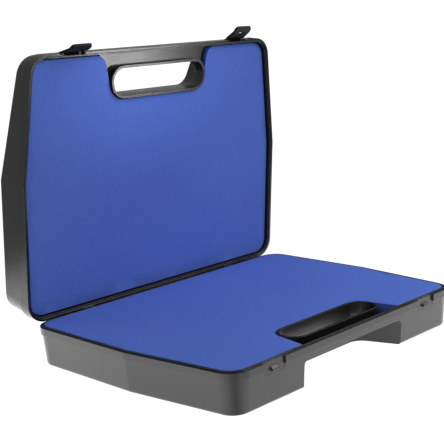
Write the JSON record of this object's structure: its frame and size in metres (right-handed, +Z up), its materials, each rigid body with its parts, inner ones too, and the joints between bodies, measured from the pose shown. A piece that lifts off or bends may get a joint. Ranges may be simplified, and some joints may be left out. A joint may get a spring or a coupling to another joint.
{
  "type": "laptop hard case",
  "caption": "Moulded plastic hard case with blue foam lining, pinned back hinges, snap latches and a built-in carrying handle, standing open.",
  "frame": {"origin": "centre of the flat outer face of the base, the face that the case lies on", "axes": "+Z up, +X along the hinge line to the right seen from the handle, +Y from the handle towards the hinges"},
  "size_m": [0.36, 0.3151, 0.3186],
  "materials": {
    "shell_plastic": "satin, fine grain",
    "latch_plastic": "satin, smooth",
    "foam": "matt foam, fine open cells",
    "pin_steel": "drawn wire"
  },
  "bodies": {
    "base": {"base_shell": "shell_plastic", "base_foam": "foam", "hinge_pin_left": "pin_steel", "hinge_pin_right": "pin_steel"},
    "lid": {"lid_shell": "shell_plastic", "lid_foam": "foam", "latch_pin_left": "pin_steel", "latch_pin_right": "pin_steel"},
    "latch_left": {"latch_left": "latch_plastic"},
    "latch_right": {"latch_right": "latch_plastic"}
  },
  "joints": [
    {"name": "lid_hinge", "type": "hinge", "parent": "base", "child": "lid", "pos_m": [0, 0.1347, 0.0365], "axis": [1, 0, 0], "range_deg": [0, 84.4]},
    {"name": "latch_left_hinge", "type": "hinge", "parent": "lid", "child": "latch_left", "pos_m": [-0.115, 0.11904, 0.30385], "axis": [-1, 0, 0], "range_deg": [-18, 102]},
    {"name": "latch_right_hinge", "type": "hinge", "parent": "lid", "child": "latch_right", "pos_m": [0.115, 0.11904, 0.30385], "axis": [-1, 0, 0], "range_deg": [-36, 84]}
  ]
}
